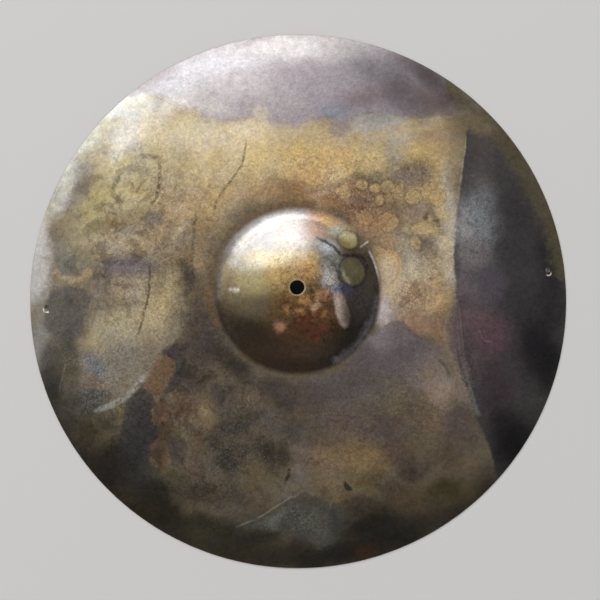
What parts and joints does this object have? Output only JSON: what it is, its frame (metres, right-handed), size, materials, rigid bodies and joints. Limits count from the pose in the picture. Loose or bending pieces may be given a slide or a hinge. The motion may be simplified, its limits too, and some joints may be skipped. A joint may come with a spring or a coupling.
{
  "type": "crash cymbal",
  "caption": "Round bronze cymbal with a domed bell, a gently curved bow, a centre bore and two small rivet holes near the edge.",
  "frame": {"origin": "centre of the plane that the edge stands on, under the bore", "axes": "+Z along the cymbal's axis, from the edge towards the top of the bell; +Y is the top of the face and +X its right-hand side as the patina is seen from above"},
  "size_m": [0.508, 0.508, 0.05],
  "materials": {
    "bronze": "aged bronze, satin, with a mottled gold, olive, brown and grey patina"
  },
  "bodies": {
    "root": {"cymbal": "bronze"}
  },
  "joints": []
}
